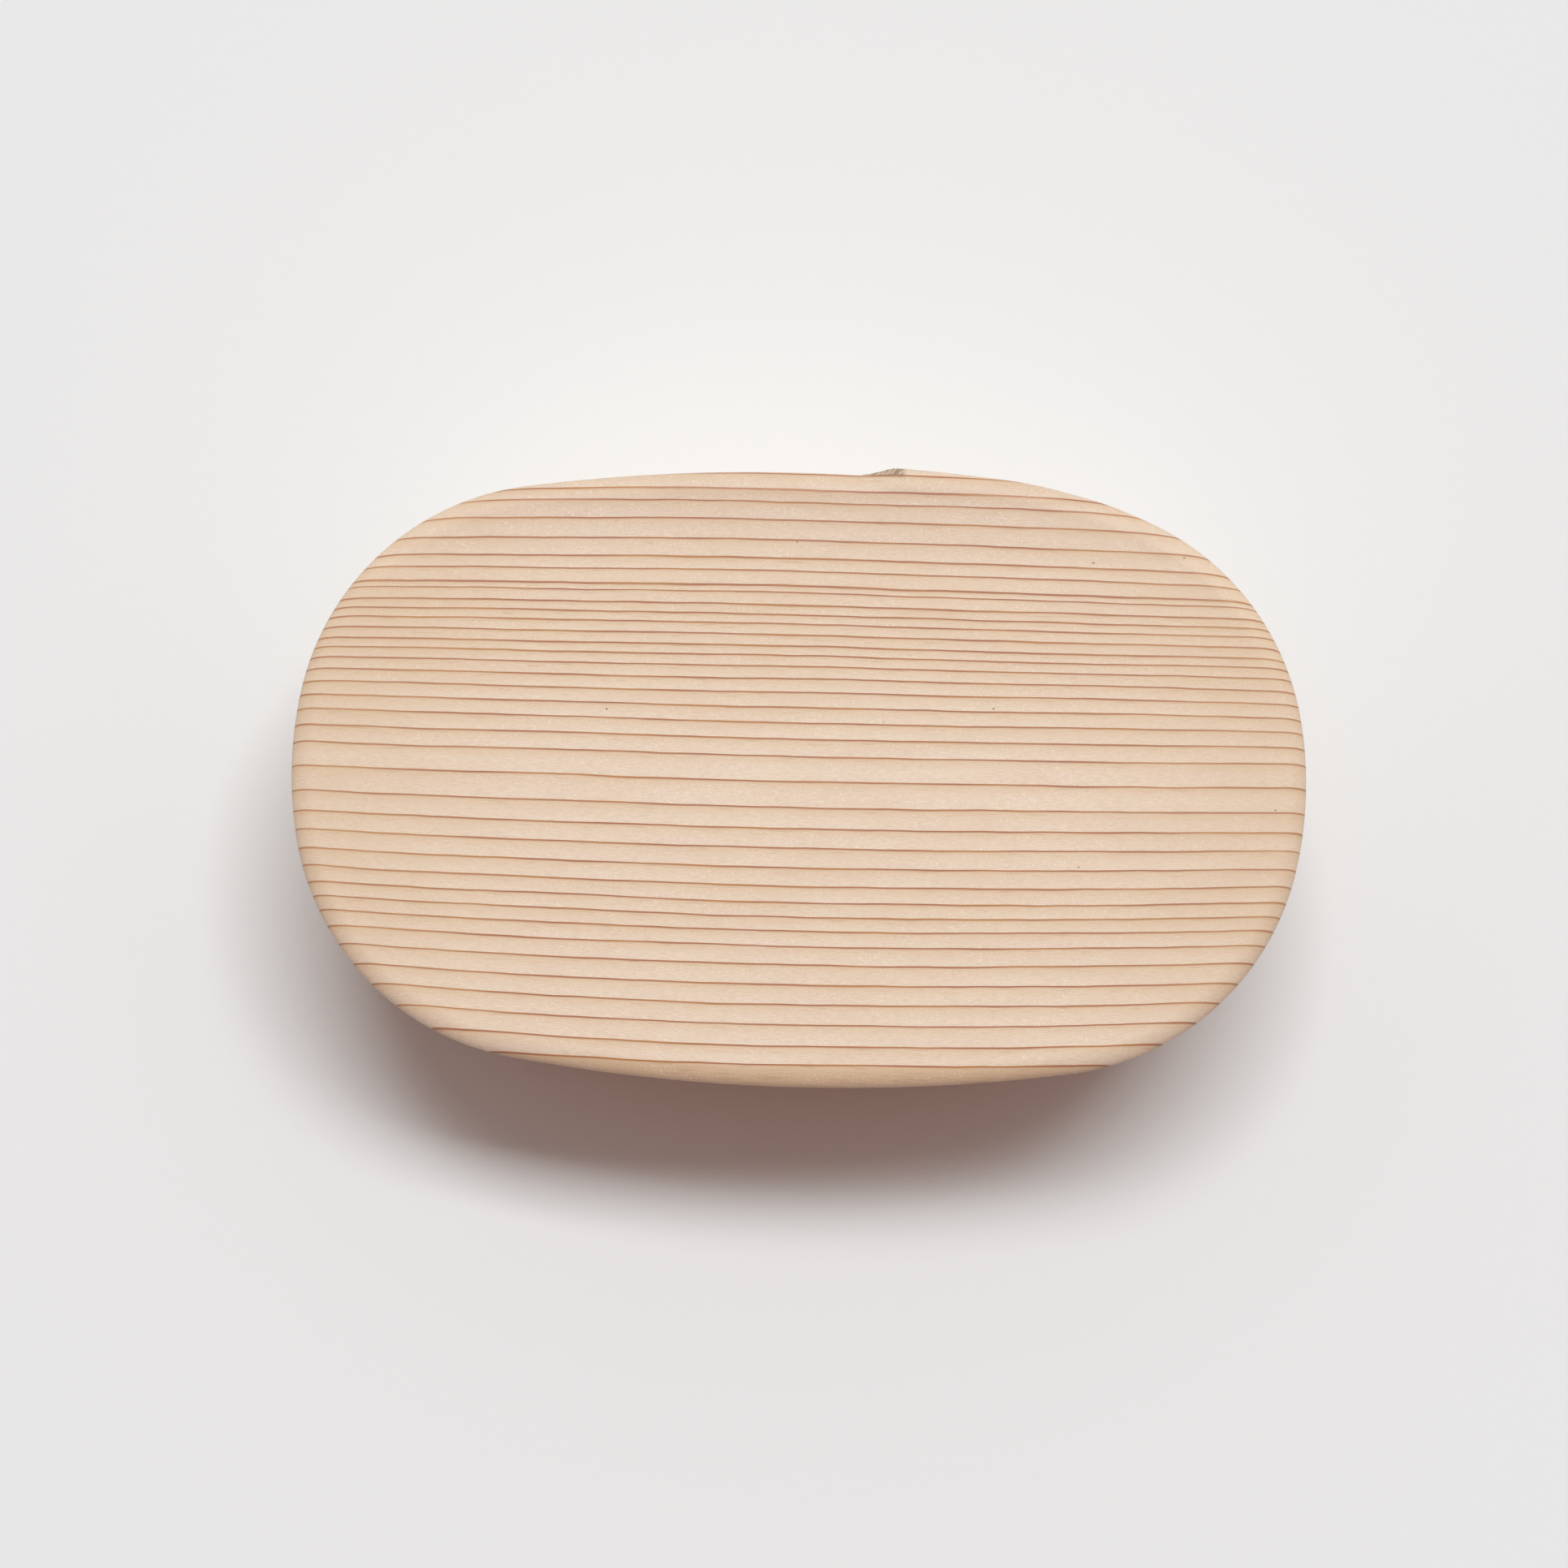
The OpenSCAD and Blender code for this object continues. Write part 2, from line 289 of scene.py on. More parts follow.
def round_over(bm, geometry, width, height, segments, affect="EDGES"):
    """Bevels edges or corners to a quarter ellipse."""
    stretch = Matrix.Diagonal((1, 1, width / height, 1))
    bmesh.ops.transform(bm, matrix=stretch, verts=bm.verts)
    bevel(bm, geometry, width, segments, affect)
    bmesh.ops.transform(bm, matrix=stretch.inverted(), verts=bm.verts)


def faces_at(bm, level):
    """The flat faces at a level, the largest first."""
    flat = [face for face in bm.faces if all(abs(vert.co.z - level) < HAIR for vert in face.verts)]
    return sorted(flat, key=lambda face: -face.calc_area())


print("An oval is drawn with", len(once_round(0)), "spins")

# %% [markdown]
# Every piece ends in the same way: faces turned outwards and smooth shading with sharp edges kept. The piece
# rides on a body and stands for a node, which is hidden.

# %% Finish a piece
sharp_angle = math.radians(32)
weld_gap = 0.004 * MM


def add_object(name, data):
    """A new object in the scene."""
    made = bpy.data.objects.new(name, data)
    bpy.context.scene.collection.objects.link(made)
    return made


def count_open(bm):
    return sum(not edge.is_manifold for edge in bm.edges)


def mark_sharp(bm):
    for face in bm.faces:
        face.smooth = True
    for edge in bm.edges:
        edge.smooth = len(edge.link_faces) == 2 and edge.calc_face_angle() < sharp_angle


def finish_piece(name, bm, body):
    """Makes the object of a finished mesh. The new piece has the name of its node with _shown behind."""
    bmesh.ops.remove_doubles(bm, verts=bm.verts, dist=weld_gap)
    bmesh.ops.recalc_face_normals(bm, faces=bm.faces)
    mark_sharp(bm)
    mesh = bpy.data.meshes.new(name)
    bm.to_mesh(mesh)
    open_edges = count_open(bm)
    bm.free()
    piece = add_object(name + "_shown", mesh)
    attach(piece, body)
    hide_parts(name)
    print(f"{name}: {len(mesh.vertices)} points, {open_edges} open edges")
    return piece


print(f"Edges of more than {math.degrees(sharp_angle):.0f} degrees stay sharp")

# %% [markdown]
# ## The lid's board
# The top of the lid is one planed board. Its edge is rounded over by hand, and it follows the step of the
# lap. Below, a tongue fits inside the band, a flat seat rests on the body's rim, and the middle is hollowed
# out. The upper skin and the tongue are two shells on different ovals, and a bridge between them is the
# shoulder that covers the band's edge. The rounding of a hollow is made just short of its width, so that no
# wood stands past the frame's.

# %% Model the lid's board
lid_round_width = 4 * MM
lid_round_height = 2.6 * MM
rounding_segments = 14
joint_ease = 0.15 * MM
joint_segments = 2
rim_ease = 0.7 * MM
rim_segments = 4
lid_seat_width = 9 * MM
lid_hollow = 3.2 * MM
lid_hollow_round = 5 * MM
hollow_segments = 8
just_short = 0.999


def join_shells(bm, level):
    """Opens the two flat faces that meet at a level, bridges their loops and returns the outer one.
    A bridge needs loops that face each other, so the inner loop is pulled out of the plane meanwhile."""
    outer, inner = faces_at(bm, level)
    loops = list(outer.edges), list(inner.edges)
    tongue_verts = list(inner.verts)
    bmesh.ops.delete(bm, geom=[outer, inner], context="FACES_ONLY")
    bmesh.ops.translate(bm, verts=tongue_verts, vec=(0, 0, rim_ease))
    bmesh.ops.bridge_loops(bm, edges=loops[0] + loops[1])
    bmesh.ops.translate(bm, verts=tongue_verts, vec=(0, 0, -rim_ease))
    return loops[0]


def model_lid_board():
    bm = bmesh.new()
    top = raise_face(bm, fill(bm, draw_oval(bm, 0, lid_joint)), lid_top - lid_joint)
    round_over(bm, list(top.edges), lid_round_width, lid_round_height, rounding_segments)
    mark_knife_cut(bm)
    push_out_lap(bm, 0, lid_swell)

    seat = raise_face(bm, fill(bm, draw_oval(bm, tongue_inset, lid_joint)), seat_level - lid_joint)
    bevel(bm, list(seat.edges), rim_ease, rim_segments)
    seat = faces_at(bm, seat_level)[0]
    bmesh.ops.inset_region(bm, faces=[seat], thickness=lid_seat_width - rim_ease, use_even_offset=True)
    hollow = raise_face(bm, seat, lid_hollow)
    round_over(bm, list(hollow.edges), just_short * lid_hollow_round, lid_hollow, hollow_segments)

    bevel(bm, join_shells(bm, lid_joint), joint_ease, joint_segments)
    return bm


lid_board = finish_piece("lid_board", model_lid_board(), "lid")

# %% [markdown]
# ## The bottom board
# The floor of the box is the lid's board turned over: rounded below, with a shoulder that carries the band
# and a tongue inside it. Here the tongue is high, and a wide cove runs from its thin lip down to the floor,
# so that no food sticks in a corner. It takes the same tools as the lid's board.

# %% Model the bottom board
bottom_round_width = 5 * MM
bottom_round_height = 4.6 * MM
floor_level = 5 * MM
tongue_lip = 0.3 * MM
cove_width = 8 * MM
cove_segments = 10


def model_bottom_board():
    bm = bmesh.new()
    base = raise_face(bm, fill(bm, draw_oval(bm, body_inset, bottom_joint)), -bottom_joint)
    round_over(bm, list(base.edges), bottom_round_width, bottom_round_height, rounding_segments)
    push_out_lap(bm, body_inset, body_swell)

    tongue = draw_oval(bm, body_inset + tongue_inset, bottom_joint)
    lip = raise_face(bm, fill(bm, tongue), lip_level - bottom_joint)
    bmesh.ops.inset_region(bm, faces=[lip], thickness=tongue_lip, use_even_offset=True)
    inside = raise_face(bm, lip, floor_level - lip_level)
    round_over(bm, list(inside.edges), just_short * cove_width, lip_level - floor_level, cove_segments)

    bevel(bm, join_shells(bm, bottom_joint), joint_ease, joint_segments)
    return bm


bottom_board = finish_piece("bottom_board", model_bottom_board(), "body")

# %% [markdown]
# ## The bent bands
# A band is one flat strip that goes once round the oval and laps over its own start. Its outer end is shaved
# thin on the inside, its inner end on the outside, so that both tips lie flat. A spin carries the section of
# the strip from arc to arc in small steps, and after each step the section is pressed to the thickness it has
# there. The path walked and the level go into a UV map, so that the grain can follow the bent wood.

# %% Press a section of the strip
# What differs between the bands: how far in the oval lies, how much the lap swells, and both edges' levels
Strip = namedtuple("Strip", "inset size joint rim")
lid_strip = Strip(0, lid_swell, lid_joint, lid_band_low.z)
body_strip = Strip(body_inset, body_swell, bottom_joint, body_rim)


def inner_end(run):
    """Thickness of the thinned inner end of a strip, at a distance from the outer tip above it."""
    return band_thickness + (tip_thickness - band_thickness) * run / lap_length


def faces_of_strip(strip, walked):
    """How far the inner and the outer face of a strip lie out from the plain oval."""
    under = walked - oval_length(strip.inset)
    if walked <= lap_length:
        return inner_end(walked) + glue_line - band_thickness, swell(walked, strip.size)
    if under > -HAIR:
        return -band_thickness, inner_end(under) - band_thickness
    return -band_thickness, 0


for name, strip in (("Lid", lid_strip), ("Body", body_strip)):
    inner, outer = faces_of_strip(strip, tip_slope)
    print(f"{name} band: {1000 * (outer - inner):.2f} mm thick at the top of the slope")

# %% Carry the section round the oval
def draw_section(bm, strip, depth):
    """A rectangle across the strip at the tip, with its edges eased, and how deep each corner lies."""
    outward = direction(tip_turn(strip.inset))
    place = side_centre + (side_radius - strip.inset) * outward
    height = strip.joint - strip.rim
    axes = Matrix((outward * band_thickness, Vector((0, 0, height)), outward.cross((0, 0, 1)))).transposed()
    middle = place - outward * band_thickness / 2 + Vector((0, 0, strip.rim + height / 2))
    rectangle(bm, Matrix.Translation(middle) @ axes.to_4x4())
    edges = (strip.rim, rim_ease, rim_segments), (strip.joint, joint_ease, joint_segments)
    for level, radius, segments in edges:
        corners = [vert for vert in bm.verts if abs(vert.co.z - level) < HAIR]
        bevel(bm, corners, radius, segments, "VERTICES")
    for vert in bm.verts:
        vert[depth] = (vert.co - place).dot(outward)
    return [*bm.verts, *bm.edges, *bm.faces], place, outward


def press(verts, strip, depth, run, walked, place, outward):
    """Sets the points of one section to the thickness that the strip has there."""
    inner, outer = faces_of_strip(strip, walked)
    for vert in verts:
        share = 1 + vert[depth] / band_thickness
        spot = place + outward * (inner + share * (outer - inner))
        vert.co = Vector((spot.x, spot.y, vert.co.z))
        vert[run] = walked


def model_band(strip):
    bm = bmesh.new()
    depth = bm.verts.layers.float.new("depth")
    run = bm.verts.layers.float.new("run")
    section, place, outward = draw_section(bm, strip, depth)
    press(verts_of(section), strip, depth, run, 0, place, outward)
    whole = oval_length(strip.inset)
    for centre, step, walked, place, outward in walk(strip.inset, whole + lap_length):
        made = bmesh.ops.spin(bm, geom=section, cent=centre, axis=CLOCKWISE, angle=step, steps=1)
        section = made["geom_last"]
        press(verts_of(section), strip, depth, run, walked, place, outward)
    grain = bm.loops.layers.uv.new("grain")
    for face in bm.faces:
        for loop in face.loops:
            loop[grain].uv = loop.vert[run], loop.vert.co.z
    return bm


lid_band = finish_piece("lid_band", model_band(lid_strip), "lid")
body_band = finish_piece("body_band", model_band(body_strip), "body")

# %% [markdown]
# ## The channels for the bark
# The sewing runs through slits that are cut in the lap with a thin blade. The node of the sewing in the frame
# has just that shape, so a copy of it, grown a little, is the cutter. A Boolean takes it out of the band, and
# the result becomes the band's own mesh.

# %% Cut the channels
channel_gap = 0.05 * MM


def cut_channel(band, sewing):
    """Takes the shape of a sewing node out of a band."""
    bm = bmesh.new()
    bm.from_mesh(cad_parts[sewing].data)
    bmesh.ops.remove_doubles(bm, verts=bm.verts, dist=HAIR)
    bmesh.ops.recalc_face_normals(bm, faces=bm.faces)
    for vert in bm.verts:
        vert.co += vert.normal * vert.calc_shell_factor() * channel_gap
    blade = add_object("blade", bpy.data.meshes.new("blade"))
    bm.to_mesh(blade.data)
    bm.free()
    cut = band.modifiers.new("cut", "BOOLEAN")
    cut.operation = "DIFFERENCE"
    cut.solver = "EXACT"
    cut.object = blade
    view = bpy.context.evaluated_depsgraph_get()
    carved = bpy.data.meshes.new_from_object(band.evaluated_get(view), preserve_all_data_layers=True,
                                             depsgraph=view)
    band.modifiers.clear()
    band.data = carved
    bpy.data.objects.remove(blade)

    bm = bmesh.new()
    bm.from_mesh(carved)
    mark_sharp(bm)
    open_edges = count_open(bm)
    bm.to_mesh(carved)
    bm.free()
    print(f"{band.name}: {len(carved.vertices)} points after the cut, {open_edges} open edges")


cut_channel(lid_band, "lid_bark_sewing")
cut_channel(body_band, "body_bark_sewing")

# %% [markdown]
# ## The cherry bark
# One strip of bark sews each lap, in and out, so that a row of short stitches shows outside. Bark bends round
# the edge of the wood and doesn't break there. The strip's section is a thin rectangle with soft corners and
# slightly crowned sides. It is extruded along each straight stretch and spun round each bend, like a turtle
# that draws a meander.

# %% Lay the bark strip
bark_width = 5 * MM
bark_thickness = 0.5 * MM
bark_sunk = 0.3 * MM
bark_corner = 0.13 * MM
bark_corner_segments = 2
bark_crown = 0.12 * MM
crown_segments = 6
bend_radius = 0.36 * MM
bend_steps = 5
outside_stitch = 4.2 * MM
stitch_space = 2.2 * MM
stitch_tail = 1.4 * MM
sewing_from_tip = 15 * MM

DOWN = Vector((0, 0, -1))
OUT = Vector((1, 0, 0))
IN = -OUT


def lay_strip(bm, section, place, moves):
    """Carries the section along straight stretches, with a bend into the next direction after each."""
    heading = DOWN
    for length, turn_to in moves:
        made = bmesh.ops.extrude_face_region(bm, geom=section)["geom"]
        bmesh.ops.translate(bm, verts=verts_of(made), vec=heading * length)
        place = place + heading * length
        section = made
        if turn_to is None:
            return
        centre = place + turn_to * bend_radius
        axis = heading.cross(turn_to)
        made = bmesh.ops.spin(bm, geom=section, cent=centre, axis=axis, angle=math.pi / 2, steps=bend_steps)
        section = made["geom_last"]
        place = centre + heading * bend_radius
        heading = turn_to


print(f"A stitch and the space after it take {1000 * (outside_stitch + stitch_space):.1f} mm")

# %% Sew the laps
def model_sewing(node, strip):
    """The strip of bark that sews one lap, drawn beside the wood's face and then set on it."""
    low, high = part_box(node)
    stands = swell(sewing_from_tip, strip.size)
    half = bark_thickness / 2
    outside = half - bark_sunk
    inside = -band_thickness - stands - outside
    wall = outside - inside - 2 * bend_radius
    tail = stitch_tail + half - bend_radius
    shown = outside_stitch - bark_thickness - 2 * bend_radius
    hidden = stitch_space + bark_thickness - 2 * bend_radius
    row = high.z - low.z - 2 * stitch_tail
    count = round((row + stitch_space) / (outside_stitch + stitch_space))
    stitch = [(wall, DOWN), (shown, IN), (wall, DOWN)]
    more = [(hidden, OUT), *stitch] * (count - 1)
    moves = [(tail, OUT), *stitch, *more, (tail, None)]

    bm = bmesh.new()
    start = Vector((inside, 0, high.z))
    shape = Matrix.Translation(start) @ Matrix.Diagonal((bark_thickness, bark_width, 1, 1))
    rectangle(bm, shape, crown_segments)
    corners = [vert for vert in bm.verts if len(vert.link_edges) == 2]
    bevel(bm, corners, bark_corner, bark_corner_segments, "VERTICES")
    for vert in bm.verts:
        towards_edge = 2 * vert.co.y / bark_width
        vert.co.x += math.copysign(bark_crown, vert.co.x - start.x) * (1 - towards_edge**2)
    lay_strip(bm, [*bm.verts, *bm.edges, *bm.faces], start, moves)

    radius = side_radius - strip.inset
    angle = tip_turn(strip.inset) - sewing_from_tip / radius
    place = side_centre + (radius + stands) * direction(angle)
    bmesh.ops.transform(bm, matrix=Matrix.Translation(place) @ Matrix.Rotation(angle, 4, "Z"), verts=bm.verts)
    print(f"{node}: {count} stitches")
    return bm


def sew(node, strip, body):
    return finish_piece(node, model_sewing(node, strip), body)


lid_sewing = sew("lid_bark_sewing", lid_strip, "lid")
body_sewing = sew("body_bark_sewing", body_strip, "body")

# %% [markdown]
# ## The divider
# A thin loose board stands across the box. Its lower corners follow the cove, its upper ones are rounded for
# the fingers. It starts as one rectangle, its corners are bevelled, it is extruded, and its edges are eased.

# %% Model the divider
divider_round = 7 * MM
divider_ease = 0.6 * MM
divider_ease_segments = 3
corner_segments = 12


def model_divider():
    low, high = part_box("divider")
    size = high - low
    bm = bmesh.new()
    upright = Matrix(((0, 0, size.x), (size.y, 0, 0), (0, size.z, 0))).to_4x4()
    middle = Vector((low.x, (low.y + high.y) / 2, (low.z + high.z) / 2))
    rectangle(bm, Matrix.Translation(middle) @ upright)
    lower = [vert for vert in bm.verts if vert.co.z < middle.z]
    round_over(bm, lower, cove_width, lip_level - floor_level, corner_segments, "VERTICES")
    upper = [vert for vert in bm.verts if abs(vert.co.z - high.z) < HAIR]
    round_over(bm, upper, divider_round, divider_round, corner_segments, "VERTICES")
    made = bmesh.ops.extrude_face_region(bm, geom=[*bm.faces, *bm.edges])["geom"]
    bmesh.ops.translate(bm, verts=verts_of(made), vec=(size.x, 0, 0))
    rims = [edge for edge in bm.edges if abs(edge.verts[0].co.x - edge.verts[1].co.x) < HAIR]
    bevel(bm, rims, divider_ease, divider_ease_segments)
    return bm


divider = finish_piece("divider", model_divider(), "divider")

# %% [markdown]
# ## Building finishes from nodes
# Every finish is made of nodes. A few short helpers keep the node code readable: one links or sets a socket,
# and the others add a sum, a soft step, a cloudy pattern, or one colour over another. Lengths in the patterns
# are in millimetres, so a spot of 0.3 is a spot of 0.3 mm on the wood.

# %% Helpers for nodes
def srgb(red, green, blue):
    """A colour as picked in an image editor, turned into Blender's linear colour."""
    levels = [value / 255 for value in (red, green, blue)]
    return *[x / 12.92 if x <= 0.04045 else ((x + 0.055) / 1.055)**2.4 for x in levels], 1


def plug(tree, socket, value):
    """Links a socket to an output, or sets it."""
    if isinstance(value, bpy.types.NodeSocket):
        tree.links.new(value, socket)
    else:
        socket.default_value = value


def add_node(tree, kind, **settings):
    """A new shader node with its own settings."""
    node = tree.nodes.new("ShaderNode" + kind)
    for name, value in settings.items():
        setattr(node, name, value)
    return node


def calc(tree, operation, *values):
    node = add_node(tree, "Math", operation=operation)
    for socket, value in zip(node.inputs, values):
        plug(tree, socket, value)
    return node.outputs["Value"]


print(f"A grey of 128 is {srgb(128, 128, 128)[0]:.2f} in Blender's linear colour")

# %% Helpers for patterns, colours and groups
def fade(tree, value, none, full):
    """A soft step: 0 where value is at none, 1 where it is at full."""
    node = add_node(tree, "MapRange", interpolation_type="SMOOTHSTEP")
    plug(tree, node.inputs["Value"], value)
    node.inputs["From Min"].default_value = none
    node.inputs["From Max"].default_value = full
    return node.outputs["Result"]


def clouds(tree, place, size, detail=2):
    """A cloudy pattern around 0.5, with clouds of this size along, across and into the wood."""
    shrink = add_node(tree, "VectorMath", operation="DIVIDE")
    plug(tree, shrink.inputs[0], place)
    shrink.inputs[1].default_value = size
    noise = add_node(tree, "TexNoise")
    noise.inputs["Scale"].default_value = 1
    noise.inputs["Detail"].default_value = detail
    tree.links.new(shrink.outputs["Vector"], noise.inputs["Vector"])
    return noise.outputs["Fac"]


def mix(tree, share, first, second, way="MIX"):
    """A mix of two colours."""
    node = add_node(tree, "Mix", data_type="RGBA", blend_type=way)
    plug(tree, node.inputs[0], share)
    plug(tree, node.inputs[6], first)
    plug(tree, node.inputs[7], second)
    return node.outputs[2]


def lay(tree, ground, mask, colour, share):
    """Lays a colour over the ground, by a share of the mask."""
    return mix(tree, calc(tree, "MULTIPLY", mask, share), ground, colour)


def split(tree, vector):
    node = add_node(tree, "SeparateXYZ")
    plug(tree, node.inputs[0], vector)
    return node.outputs


def join(tree, x, y, z):
    node = add_node(tree, "CombineXYZ")
    for socket, value in zip(node.inputs, (x, y, z)):
        plug(tree, socket, value)
    return node.outputs[0]


def new_group(name, inputs, outputs):
    """An empty node group with named sockets, and its inner input and output nodes."""
    tree = bpy.data.node_groups.new(name, "ShaderNodeTree")
    for side, sockets in (("INPUT", inputs), ("OUTPUT", outputs)):
        for socket, kind in sockets:
            tree.interface.new_socket(socket, in_out=side, socket_type="NodeSocket" + kind)
    return tree, tree.nodes.new("NodeGroupInput").outputs, tree.nodes.new("NodeGroupOutput").inputs


print("Helpers: fade, clouds, mix, lay, split, join and new_group")

# %% [markdown]
# ## The growth of the tree
# The ring lines are the first thing one sees. A wave texture would space them evenly, but a tree grows fast
# in some years and slowly in others. So a curve tells which ring lies where across the board: wide rings in
# its middle, narrow ones towards the back. The whole part of its value is the number of the ring, and the
# rest is the way through that year.

# %% Draw the growth chart
half_chart = 56
ring_scale = 40
rings_across = [
    (56, -0.35), (51.5, 1), (49.2, 2), (46, 3), (39.2, 5), (36.9, 6), (34.3, 7), (33.1, 8), (31, 9),
    (27.7, 11), (23.8, 13), (22.1, 14), (18, 16), (13, 18), (7.4, 20), (4.3, 21), (-4.7, 23),
    (-11.9, 25), (-18.6, 27), (-21.5, 28), (-29.4, 31), (-36.1, 33), (-43.1, 35), (-46.9, 36),
    (-50.3, 37), (-56, 37.95),
]


def on_chart(across, ring):
    """A point of the curve, whose both sides go from 0 to 1."""
    return (half_chart - across) / (2 * half_chart), (ring + 1) / ring_scale


def growth_chart():
    """Node group: the number of the ring at a distance in mm from the middle of the board."""
    tree, given, result = new_group("Growth chart", [("Across", "Float")], [("Ring", "Float")])
    chart = add_node(tree, "FloatCurve")
    curve = chart.mapping.curves[0]
    spots = [on_chart(across, ring) for across, ring in rings_across]
    curve.points[0].location = spots[0]
    curve.points[1].location = spots[-1]
    for spot in spots[1:-1]:
        curve.points.new(*spot)
    for point in curve.points:
        point.handle_type = "AUTO_CLAMPED"
    chart.mapping.update()
    from_back = calc(tree, "SUBTRACT", half_chart, given["Across"])
    plug(tree, chart.inputs["Value"], calc(tree, "DIVIDE", from_back, 2 * half_chart))
    rings = calc(tree, "MULTIPLY", chart.outputs["Value"], ring_scale)
    plug(tree, result["Ring"], calc(tree, "SUBTRACT", rings, 1))
    return tree


growth = growth_chart()
print("Rings on the chart:", round(rings_across[-1][1]))

# %% [markdown]
# ## Cedar
# Within a year the wood starts pale and ends in a thin dark line, where the next year begins abruptly. The
# line is as thick in a wide ring as in a narrow one, so the way through the year is turned into millimetres
# with the local rate of the chart. The lines also wander a little.

# %% Find the ring lines
slow_wander = 0.8
quick_wander = 0.3
look_ahead = 0.5
least_rate = 0.1


def use_growth(tree, across):
    node = add_node(tree, "Group", node_tree=growth)
    plug(tree, node.inputs["Across"], across)
    return node.outputs["Ring"]


def wander(tree, place, size, reach):
    """A soft sideways shift, by half the reach at most to either side."""
    return calc(tree, "MULTIPLY_ADD", clouds(tree, place, size, 1), reach, -reach / 2)


def ring_lines(tree, place):
    """Distance in mm from the dark edge of the ring, the ring's number, and the way along the grain."""
    along, across, _ = split(tree, place)
    slow = wander(tree, place, (48, 16, 16), slow_wander)
    quick = wander(tree, place, (9, 4, 4), quick_wander)
    across = calc(tree, "ADD", across, calc(tree, "ADD", slow, quick))
    ring = use_growth(tree, across)
    later = use_growth(tree, calc(tree, "SUBTRACT", across, look_ahead))
    rate = calc(tree, "DIVIDE", calc(tree, "SUBTRACT", later, ring), look_ahead)
    number = calc(tree, "FLOOR", ring)
    way = calc(tree, "SUBTRACT", ring, number)
    return calc(tree, "DIVIDE", way, calc(tree, "MAXIMUM", rate, least_rate)), number, along


print(f"Lines wander by {(slow_wander + quick_wander) / 2:.2f} mm at most")

# %% [markdown]
# Each mark of the wood gets a short function. Lines are heavier in some stretches, and they turn from
# reddish to golden along their length. Beside them lie a beige shade and fine dashes, and between them the
# wood is patchy, with pale flecks painted in as small glints. A few dots of resin are strewn over all of it.

# %% Draw the marks of the wood
pale_wood = srgb(237, 213, 191)
warm_wood = srgb(234, 208, 186)
fibre_tint = srgb(237, 236, 232)
line_red = srgb(156, 86, 54)
line_gold = srgb(174, 112, 58)
speck_cell = 17
speck_radius = 0.24
speck_core = 0.1
speck_ragged = 0.5


def year_line(tree, distance, beside):
    """The dark edge of a ring, and the soft shade that follows it."""
    heavy = clouds(tree, beside, (16, 10, 10))
    scaled = calc(tree, "DIVIDE", distance, calc(tree, "MULTIPLY_ADD", heavy, 0.8, 0.45))
    line = calc(tree, "MULTIPLY", fade(tree, scaled, 0, 0.08), fade(tree, scaled, 0.52, 0.24))
    return line, fade(tree, scaled, 1.2, 0.2)


def line_colour(tree, beside):
    golden = fade(tree, clouds(tree, beside, (22, 10, 10)), 0.4, 0.65)
    return mix(tree, golden, line_red, line_gold)


def plain_wood(tree, place, fibre):
    """Pale wood in soft patches, a little darker between its fibres."""
    patches = fade(tree, clouds(tree, place, (26, 5, 5)), 0.3, 0.7)
    wood = mix(tree, patches, pale_wood, warm_wood)
    between = mix(tree, 1, wood, fibre_tint, "MULTIPLY")
    return mix(tree, fade(tree, fibre, 0.25, 0.75), between, wood)


def fine_dashes(tree, place, where):
    dash = fade(tree, clouds(tree, place, (5, 0.2, 1.2), 1), 0.58, 0.7)
    return calc(tree, "MULTIPLY", dash, where)


def painted_glints(tree, place, shade):
    """Tiny pale flecks, painted in as glints of the planed surface. They come in lively areas and keep off
    the shade of the lines.
    """
    glint_spot = fade(tree, clouds(tree, place, (0.34, 0.18, 0.3), 1), 0.52, 0.82)
    lively = fade(tree, clouds(tree, place, (9, 4, 4)), 0.25, 0.65)
    unshaded = calc(tree, "SUBTRACT", 1, shade)
    return calc(tree, "MULTIPLY", glint_spot, calc(tree, "MULTIPLY", lively, unshaded))


def resin_specks(tree, place):
    """Tiny dark dots, few and far between."""
    spots = add_node(tree, "TexVoronoi", voronoi_dimensions="2D")
    spots.inputs["Scale"].default_value = 1 / speck_cell
    plug(tree, spots.inputs["Vector"], place)
    rough = speck_ragged / speck_cell
    ragged = calc(tree, "MULTIPLY_ADD", clouds(tree, place, (0.3, 0.15, 0.3)), rough, -rough / 2)
    reach = calc(tree, "ADD", spots.outputs["Distance"], ragged)
    dot = fade(tree, reach, speck_radius / speck_cell, speck_core / speck_cell)
    chosen = fade(tree, split(tree, spots.outputs["Color"])[0], 0.85, 0.87)
    return calc(tree, "MULTIPLY", dot, chosen)


print(f"At most one speck in a square of {speck_cell} mm")

# %% [markdown]
# One group lays the marks over each other, and every wooden piece uses it, each from its own place in the
# tree. Along the front edge of the lid's board the last ring is cut at a slant, so its tan late wood lies
# open there. The first rings, at the back, are darkened a little as painted shade. End grain is darker, and
# on the boards the same tan is laid on towards their ends as painted shade. Some pieces are more golden
# than others.

# %% Build the cedar group
front_ring = 37
painted_shade_rings = 6
ring_stride = 37
late_wood = srgb(219, 187, 154)
slanting_wood = srgb(204, 164, 124)
line_shade = srgb(206, 168, 130)
painted_back_shade_tint = srgb(241, 237, 235)
dash_brown = srgb(178, 140, 106)
glint_white = srgb(248, 236, 221)
speck_brown = srgb(98, 78, 52)
tan_for_end_and_shade = srgb(204, 168, 130)
gold_tint = srgb(250, 238, 222)


